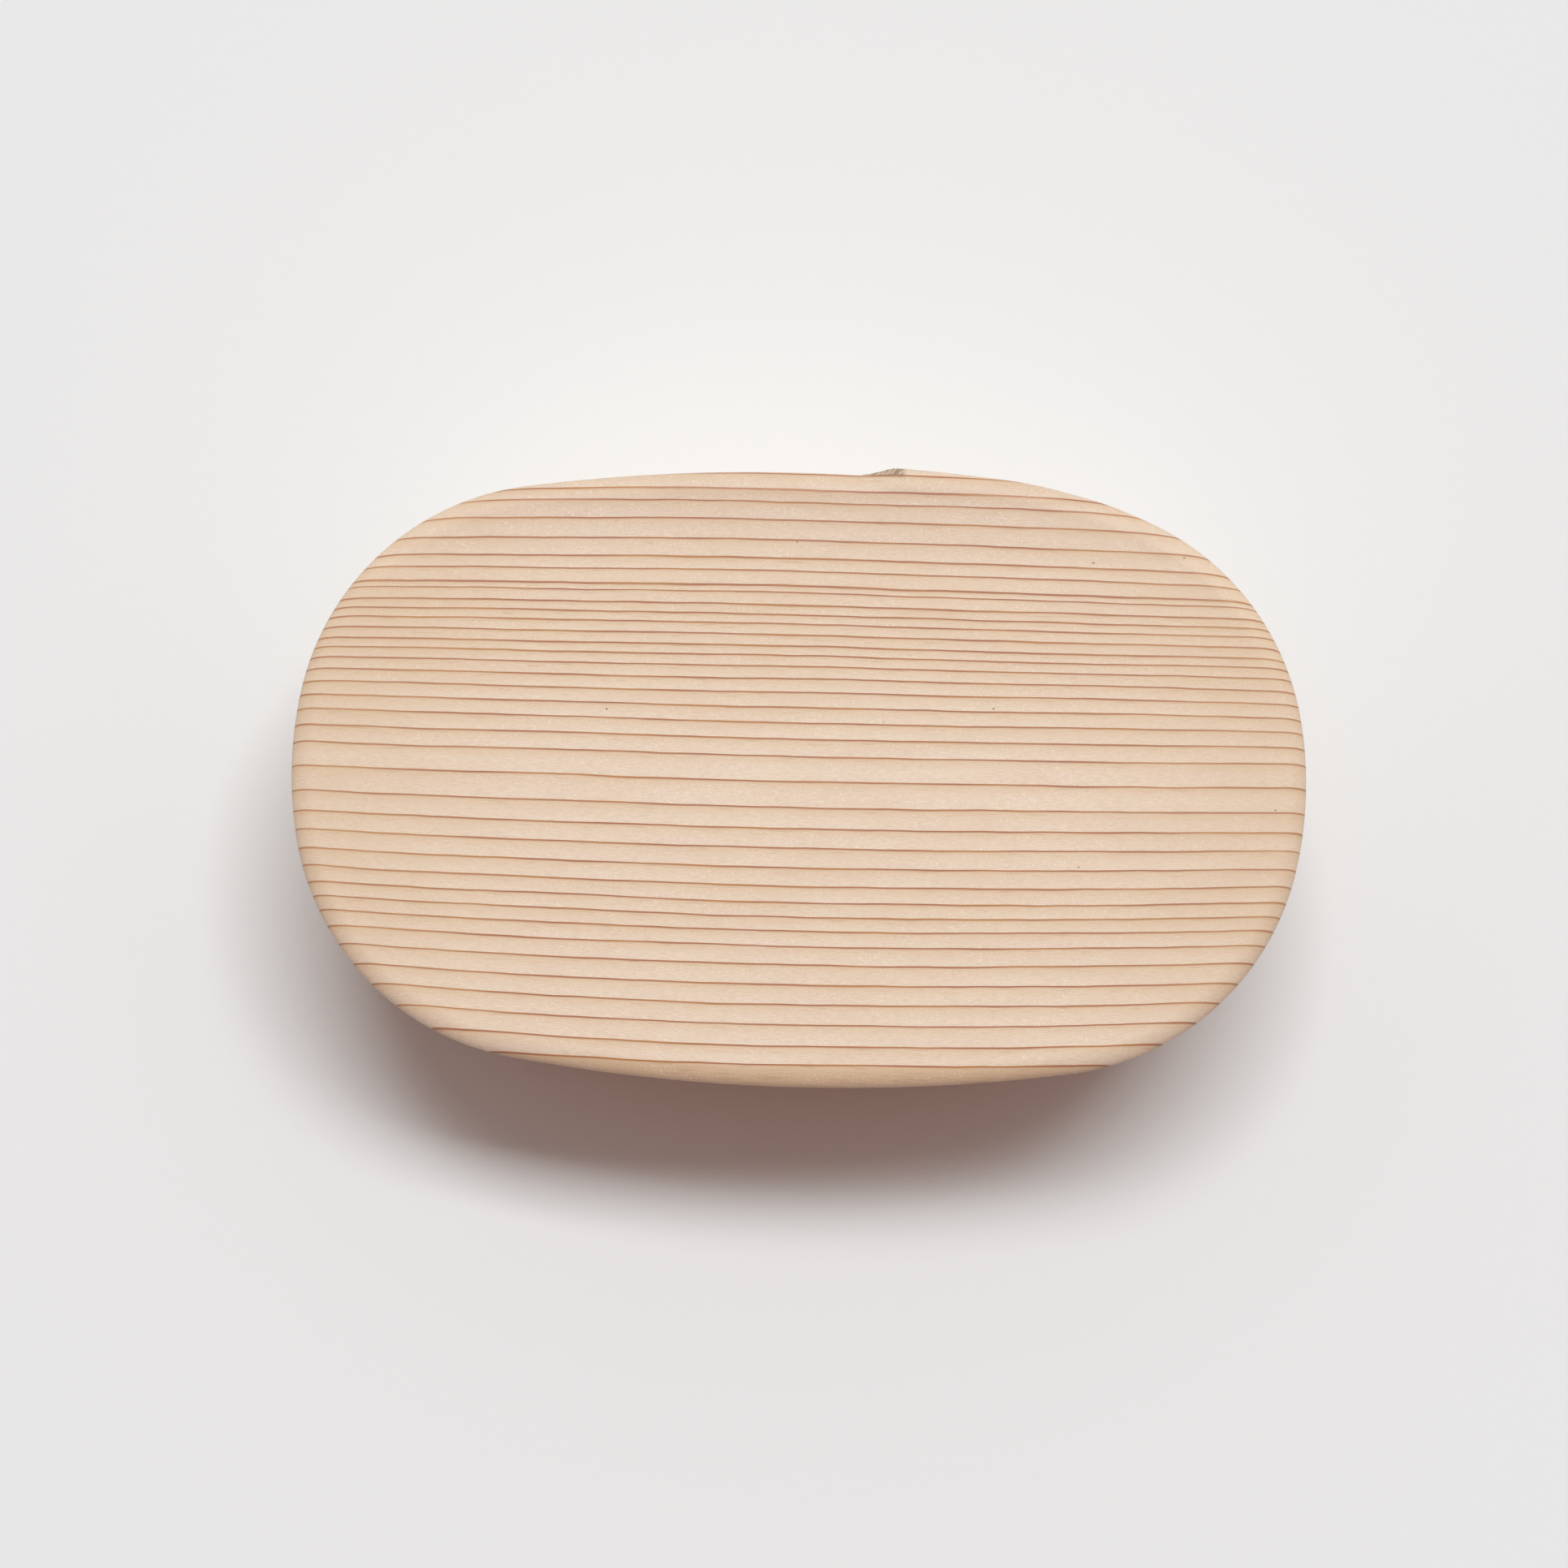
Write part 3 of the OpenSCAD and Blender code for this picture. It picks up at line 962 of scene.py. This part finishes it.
def cedar_group():
    """Node group: bare planed cedar, for a place in mm along, across and into the grain."""
    tree, given, result = new_group(
        "Cedar",
        [("Place", "Vector"), ("End grain and shade", "Float"), ("Gold", "Float")],
        [("Color", "Color"), ("Roughness", "Float"), ("Height", "Float")],
    )
    place = given["Place"]
    distance, number, along = ring_lines(tree, place)
    beside = join(tree, along, calc(tree, "MULTIPLY", number, ring_stride), 0)
    line, shade = year_line(tree, distance, beside)
    slanting = fade(tree, number, front_ring - 0.6, front_ring - 0.4)
    late = calc(tree, "MAXIMUM", fade(tree, distance, 3, 0.2), slanting)
    dash = fine_dashes(tree, place, calc(tree, "MAXIMUM", fade(tree, distance, 2, 0.5), slanting))
    fibre = clouds(tree, place, (1.4, 0.2, 0.5), 4)

    wood = plain_wood(tree, place, fibre)
    wood = lay(tree, wood, late, late_wood, share=0.65)
    wood = lay(tree, wood, slanting, slanting_wood, share=0.4)
    wood = lay(tree, wood, shade, line_shade, share=0.34)
    # The first rings at the back are darkened: painted shade on the back of the lid.
    wood = mix(tree, fade(tree, number, painted_shade_rings, 0), wood, painted_back_shade_tint, "MULTIPLY")
    wood = lay(tree, wood, dash, dash_brown, share=0.4)
    # Pale flecks painted in as glints of the surface.
    wood = lay(tree, wood, painted_glints(tree, place, shade), glint_white, share=0.75)
    wood = lay(tree, wood, line, line_colour(tree, beside), share=0.92)
    wood = lay(tree, wood, resin_specks(tree, place), speck_brown, share=0.8)
    # End grain is tan, and on the boards this input also carries painted shade towards their ends.
    wood = lay(tree, wood, given["End grain and shade"], tan_for_end_and_shade, share=0.25)
    plug(tree, result["Color"], mix(tree, given["Gold"], wood, gold_tint, "MULTIPLY"))

    rough = calc(tree, "MULTIPLY_ADD", fibre, 0.2, 0.48)
    plug(tree, result["Roughness"], calc(tree, "MULTIPLY_ADD", line, -0.1, rough))
    height = calc(tree, "MULTIPLY_ADD", line, 0.6, calc(tree, "MULTIPLY", fibre, 0.5))
    plug(tree, result["Height"], calc(tree, "MULTIPLY_ADD", dash, -0.3, height))
    return tree


cedar = cedar_group()
print("The cedar group has", len(cedar.nodes), "nodes")

# %% [markdown]
# ## Where each piece was cut
# A group only knows places in the tree, so each material says how its piece lay in the log. The boards are
# cut through solid wood: they read Object coordinates, so the lines run on over the rounded edge and across
# the ends, which are a little darker. Towards their ends, the boards' tops are also darkened as painted
# shade. Their rings lean, and they bow about one line that is straight. A bent strip carries its grain
# along, so the bands read the UV map that was walked with them. On the slope of the lid's lap, the marked
# points show the torn grain of the knife's cut.

# %% Feed a shader with cedar
relief = 0.02 * MM


def in_mm(tree, vector):
    node = add_node(tree, "VectorMath", operation="SCALE")
    plug(tree, node.inputs[0], vector)
    node.inputs["Scale"].default_value = 1 / MM
    return node.outputs["Vector"]


def place_on_piece(tree):
    """Where a point lies on its piece, in mm."""
    return in_mm(tree, add_node(tree, "TexCoord").outputs["Object"])


def new_material(name):
    """A new material, its node tree and its shader."""
    material = bpy.data.materials.new(name)
    material.use_nodes = True
    return material, material.node_tree, material.node_tree.nodes["Principled BSDF"]


def emboss(tree, shader, height, depth):
    bump = add_node(tree, "Bump")
    bump.inputs["Strength"].default_value = 1
    bump.inputs["Distance"].default_value = depth
    plug(tree, bump.inputs["Height"], height)
    plug(tree, shader.inputs["Normal"], bump.outputs["Normal"])


def show_cedar(tree, shader, place, end_grain_and_shade, gold):
    """Feeds the shader with cedar from a place in the tree."""
    wood = add_node(tree, "Group", node_tree=cedar)
    plug(tree, wood.inputs["Place"], place)
    plug(tree, wood.inputs["End grain and shade"], end_grain_and_shade)
    plug(tree, wood.inputs["Gold"], gold)
    plug(tree, shader.inputs["Base Color"], wood.outputs["Color"])
    plug(tree, shader.inputs["Roughness"], wood.outputs["Roughness"])
    emboss(tree, shader, wood.outputs["Height"], relief)


print(f"The grain stands out by {1000 * relief:.2f} mm at most")

# %% Finish the boards
ring_lean = math.tan(math.radians(15))
ring_skew = -math.tan(math.radians(0.42))
board_end = 87
ring_bow = 0.056 / board_end**2
straight_at = 17
end_shade_from = 40
end_shade_full = 90


def board_finish(name, top, shift, gold):
    """Cedar cut as a board: along X, with the rings across Y."""
    material, tree, shader = new_material(name)
    x, y, z = split(tree, place_on_piece(tree))
    below = calc(tree, "SUBTRACT", top / MM, z)
    upright = calc(tree, "MULTIPLY_ADD", below, ring_lean, y)
    bow = calc(tree, "MULTIPLY", calc(tree, "MULTIPLY", x, x), ring_bow)
    bowed = calc(tree, "MULTIPLY_ADD", calc(tree, "SUBTRACT", upright, straight_at), bow, upright)
    across = calc(tree, "MULTIPLY_ADD", x, ring_skew, bowed)
    across = calc(tree, "ADD", across, shift)
    facing = split(tree, add_node(tree, "TexCoord").outputs["Normal"])[0]
    # Towards the ends of a board the wood is darkened: painted shade, laid on with the tan of the end grain.
    painted_end_shade = fade(tree, calc(tree, "ABSOLUTE", x), end_shade_from, end_shade_full)
    end_grain_and_shade = calc(tree, "MAXIMUM", calc(tree, "MULTIPLY", facing, facing), painted_end_shade)
    show_cedar(tree, shader, join(tree, x, across, z), end_grain_and_shade, gold)
    return material


knife_slant = 0.8
knife_tint = srgb(226, 222, 214)
torn_brown = srgb(138, 110, 88)


def show_knife_cut(material):
    """Darkens the torn grain where the knife cut the slope of the lap, with fine slanting tears in it."""
    tree = material.node_tree
    base = tree.nodes["Principled BSDF"].inputs["Base Color"]
    wood = base.links[0].from_socket
    mark = add_node(tree, "Attribute", attribute_name="knife_cut")
    x, y, z = split(tree, place_on_piece(tree))
    slant = calc(tree, "MULTIPLY_ADD", y, -knife_slant, x)
    tears = fade(tree, clouds(tree, join(tree, slant, z, 0), (0.5, 3, 1)), 0.5, 0.68)
    bare = mix(tree, 1, wood, knife_tint, "MULTIPLY")
    torn = mix(tree, tears, bare, torn_brown)
    plug(tree, base, mix(tree, mark.outputs["Fac"], wood, torn))


def dress(piece, material):
    """Gives a piece its only material. A cut band may still hold an empty slot, so the slots are cleared."""
    piece.data.materials.clear()
    piece.data.materials.append(material)


lid_cedar = board_finish("lid_cedar", lid_top, shift=0, gold=0)
show_knife_cut(lid_cedar)
dress(lid_board, lid_cedar)
dress(bottom_board, board_finish("bottom_cedar", bottom_joint, shift=2.2, gold=0.3))
print("Finished:", lid_board.name, "and", bottom_board.name)

# %% Finish the bands and the divider
def band_finish(name, shift, gold):
    """Cedar cut as a thin strip and bent: along the walk, with the rings one above the other."""
    material, tree, shader = new_material(name)
    walked = add_node(tree, "UVMap", uv_map="grain")
    run, level, _ = split(tree, in_mm(tree, walked.outputs["UV"]))
    place = join(tree, run, calc(tree, "ADD", level, shift), shift)
    show_cedar(tree, shader, place, 0, gold)
    return material


def divider_finish(name, shift, gold):
    """Cedar cut as a thin board that stands across the box."""
    material, tree, shader = new_material(name)
    x, y, z = split(tree, place_on_piece(tree))
    show_cedar(tree, shader, join(tree, y, calc(tree, "ADD", z, shift), x), 0, gold)
    return material


dress(lid_band, band_finish("lid_band_cedar", shift=-62, gold=0.35))
dress(body_band, band_finish("body_band_cedar", shift=-14, gold=0.5))
dress(divider, divider_finish("divider_cedar", shift=-40, gold=0.3))
print("Cedar finishes:", ", ".join(m.name for m in bpy.data.materials if m.name.endswith("_cedar")))

# %% [markdown]
# ## Cherry bark
# Scraped cherry bark is smooth, reddish brown and a little glossy, with fine streaks along the strip. Its
# gloss is what sets it off from the dull wood, so its roughness is low and changes with the streaks.

# %% Make the bark finish
bark_dark = srgb(88, 42, 28)
bark_warm = srgb(110, 56, 36)
streak_colour = srgb(140, 80, 54)
bark_relief = 0.008 * MM


def bark_finish():
    material, tree, shader = new_material("cherry_bark")
    place = place_on_piece(tree)
    streaks = fade(tree, clouds(tree, place, (0.22, 0.22, 6)), 0.3, 0.75)
    blotches = fade(tree, clouds(tree, place, (2, 2, 3)), 0.35, 0.65)
    brown = mix(tree, blotches, bark_dark, bark_warm)
    brown = lay(tree, brown, streaks, streak_colour, share=0.5)
    plug(tree, shader.inputs["Base Color"], brown)
    plug(tree, shader.inputs["Roughness"], calc(tree, "MULTIPLY_ADD", streaks, 0.12, 0.27))
    emboss(tree, shader, streaks, bark_relief)
    return material


bark = bark_finish()
for sewing in (lid_sewing, body_sewing):
    dress(sewing, bark)
print("Bark on", lid_sewing.name, "and", body_sewing.name)

# %% [markdown]
# ## The stage
# The box stands on a plain pale sheet. One soft light comes from high above the back, a little from the
# right, so the shadow falls to the front and the front rounding of the lid turns dark. The shadow's edge is
# wider at the ends of the box than in front, so the lamp is wider than high, as a window is. It is hung far
# away, to light the whole sheet evenly. The sky is pale behind the box and dark and warm in front of it, like
# a room with its windows on one side. Lamp and sky add up to 1 on a level surface, so that colours look as
# they are written. Where the camera sees past the sheet, the background is as pale. From below the sheet is
# clear, and light passes it where the box touches it, so that the underside can be looked at.

# %% Lay the sheet
sheet_size = 30.0
sheet_colour = srgb(232, 231, 231)
sheet_roughness = 0.9
sheet_relief = 0.02 * MM
sheet_fibres = (3, 3, 3)
touch_gap = 0.02 * MM


def see_from_below(tree, shader):
    """Makes the sheet clear from below, and for light where the box touches it, to show the underside."""
    clear = add_node(tree, "BsdfTransparent")
    choice = add_node(tree, "MixShader")
    below = add_node(tree, "NewGeometry").outputs["Backfacing"]
    ray = add_node(tree, "LightPath").outputs["Ray Length"]
    touching = calc(tree, "LESS_THAN", ray, touch_gap)
    plug(tree, choice.inputs[0], calc(tree, "MAXIMUM", below, touching))
    plug(tree, choice.inputs[1], shader.outputs[0])
    plug(tree, choice.inputs[2], clear.outputs[0])
    plug(tree, tree.nodes["Material Output"].inputs["Surface"], choice.outputs[0])


def lay_floor():
    bm = bmesh.new()
    rectangle(bm, Matrix.Scale(sheet_size, 4))
    mesh = bpy.data.meshes.new("floor")
    bm.to_mesh(mesh)
    bm.free()
    material, tree, shader = new_material("pale_sheet")
    place = place_on_piece(tree)
    shader.inputs["Base Color"].default_value = sheet_colour
    shader.inputs["Roughness"].default_value = sheet_roughness
    emboss(tree, shader, clouds(tree, place, sheet_fibres, 3), sheet_relief)
    see_from_below(tree, shader)
    mesh.materials.append(material)
    floor = add_object("floor", mesh)


lay_floor()
print(f"Sheet of {sheet_size:.0f} m")

# %% Light the sheet and the box
front_sky = Vector((0.195, 0.085, 0.062))
back_sky = Vector((0.5, 0.5, 0.5))
lamp_light = Vector((1, 1, 1)) - (front_sky + back_sky) / 2
lamp_height = math.radians(64.2)
lamp_side = math.radians(11)
lamp_distance = 20.0
lamp_size = (12.0, 3.8)
lamp_loss = 0.94


def hang_lamp():
    """An area lamp that adds lamp_light to a level white surface. It is so wide that its ends give less."""
    lamp = bpy.data.lights.new("window", "AREA")
    lamp.shape = "RECTANGLE"
    lamp.size, lamp.size_y = lamp_size
    lamp.color = lamp_light
    lamp.energy = math.pi**2 * lamp_distance**2 / math.sin(lamp_height) / lamp_loss
    level = math.cos(lamp_height)
    towards = Vector((math.sin(lamp_side) * level, math.cos(lamp_side) * level, math.sin(lamp_height)))
    holder = add_object("window", lamp)
    holder.location = towards * lamp_distance
    holder.rotation_euler = towards.to_track_quat("Z", "Y").to_euler()
    return lamp


def fill_sky():
    """A sky that goes from front to back, and looks as pale as the sheet where it is seen or mirrored."""
    world = bpy.data.worlds.new("sky")
    world.use_nodes = True
    tree = world.node_tree
    ray = add_node(tree, "TexCoord").outputs["Generated"]
    to_back = fade(tree, split(tree, ray)[1], -0.5, 0.5)
    sky = mix(tree, to_back, (*front_sky, 1), (*back_sky, 1))
    rays = add_node(tree, "LightPath").outputs
    seen = calc(tree, "MAXIMUM", rays["Is Camera Ray"], rays["Is Glossy Ray"])
    seen = calc(tree, "MAXIMUM", seen, rays["Is Transmission Ray"])
    plug(tree, tree.nodes["Background"].inputs["Color"], mix(tree, seen, sky, sheet_colour))
    bpy.context.scene.world = world


fill_sky()
bpy.context.scene.view_settings.view_transform = "Standard"
print(f"Lamp of {hang_lamp().energy:.0f} W")

# %% [markdown]
# ## The camera
# The picture is taken straight from above. The box lies a little right of the middle and is turned a little,
# so the camera is moved and rolled by as much. A lens of 90 mm keeps the edges of the lid from spreading. The
# width of the picture is measured at the level of the lid's edge.

# %% Set up the camera
picture_width = 279.7 * MM
camera_height = 0.7
sensor_width = 36
edge_above_joint = 0.6 * MM
edge_level = lid_joint + edge_above_joint
box_right = 2.63 * MM
box_up = 0.71 * MM
box_turn = math.radians(1.78)

camera = bpy.data.cameras.new("camera")
camera.sensor_width = sensor_width
camera.lens = sensor_width * camera_height / picture_width
right = direction(box_turn)
up = direction(box_turn + math.pi / 2)
tripod = add_object("camera", camera)
tripod.location = -box_right * right - box_up * up + Vector((0, 0, edge_level + camera_height))
tripod.rotation_euler = (0, 0, box_turn)
bpy.context.scene.camera = tripod
print(f"Lens {camera.lens:.1f} mm, {1000 * camera_height:.0f} mm above the lid's edge")
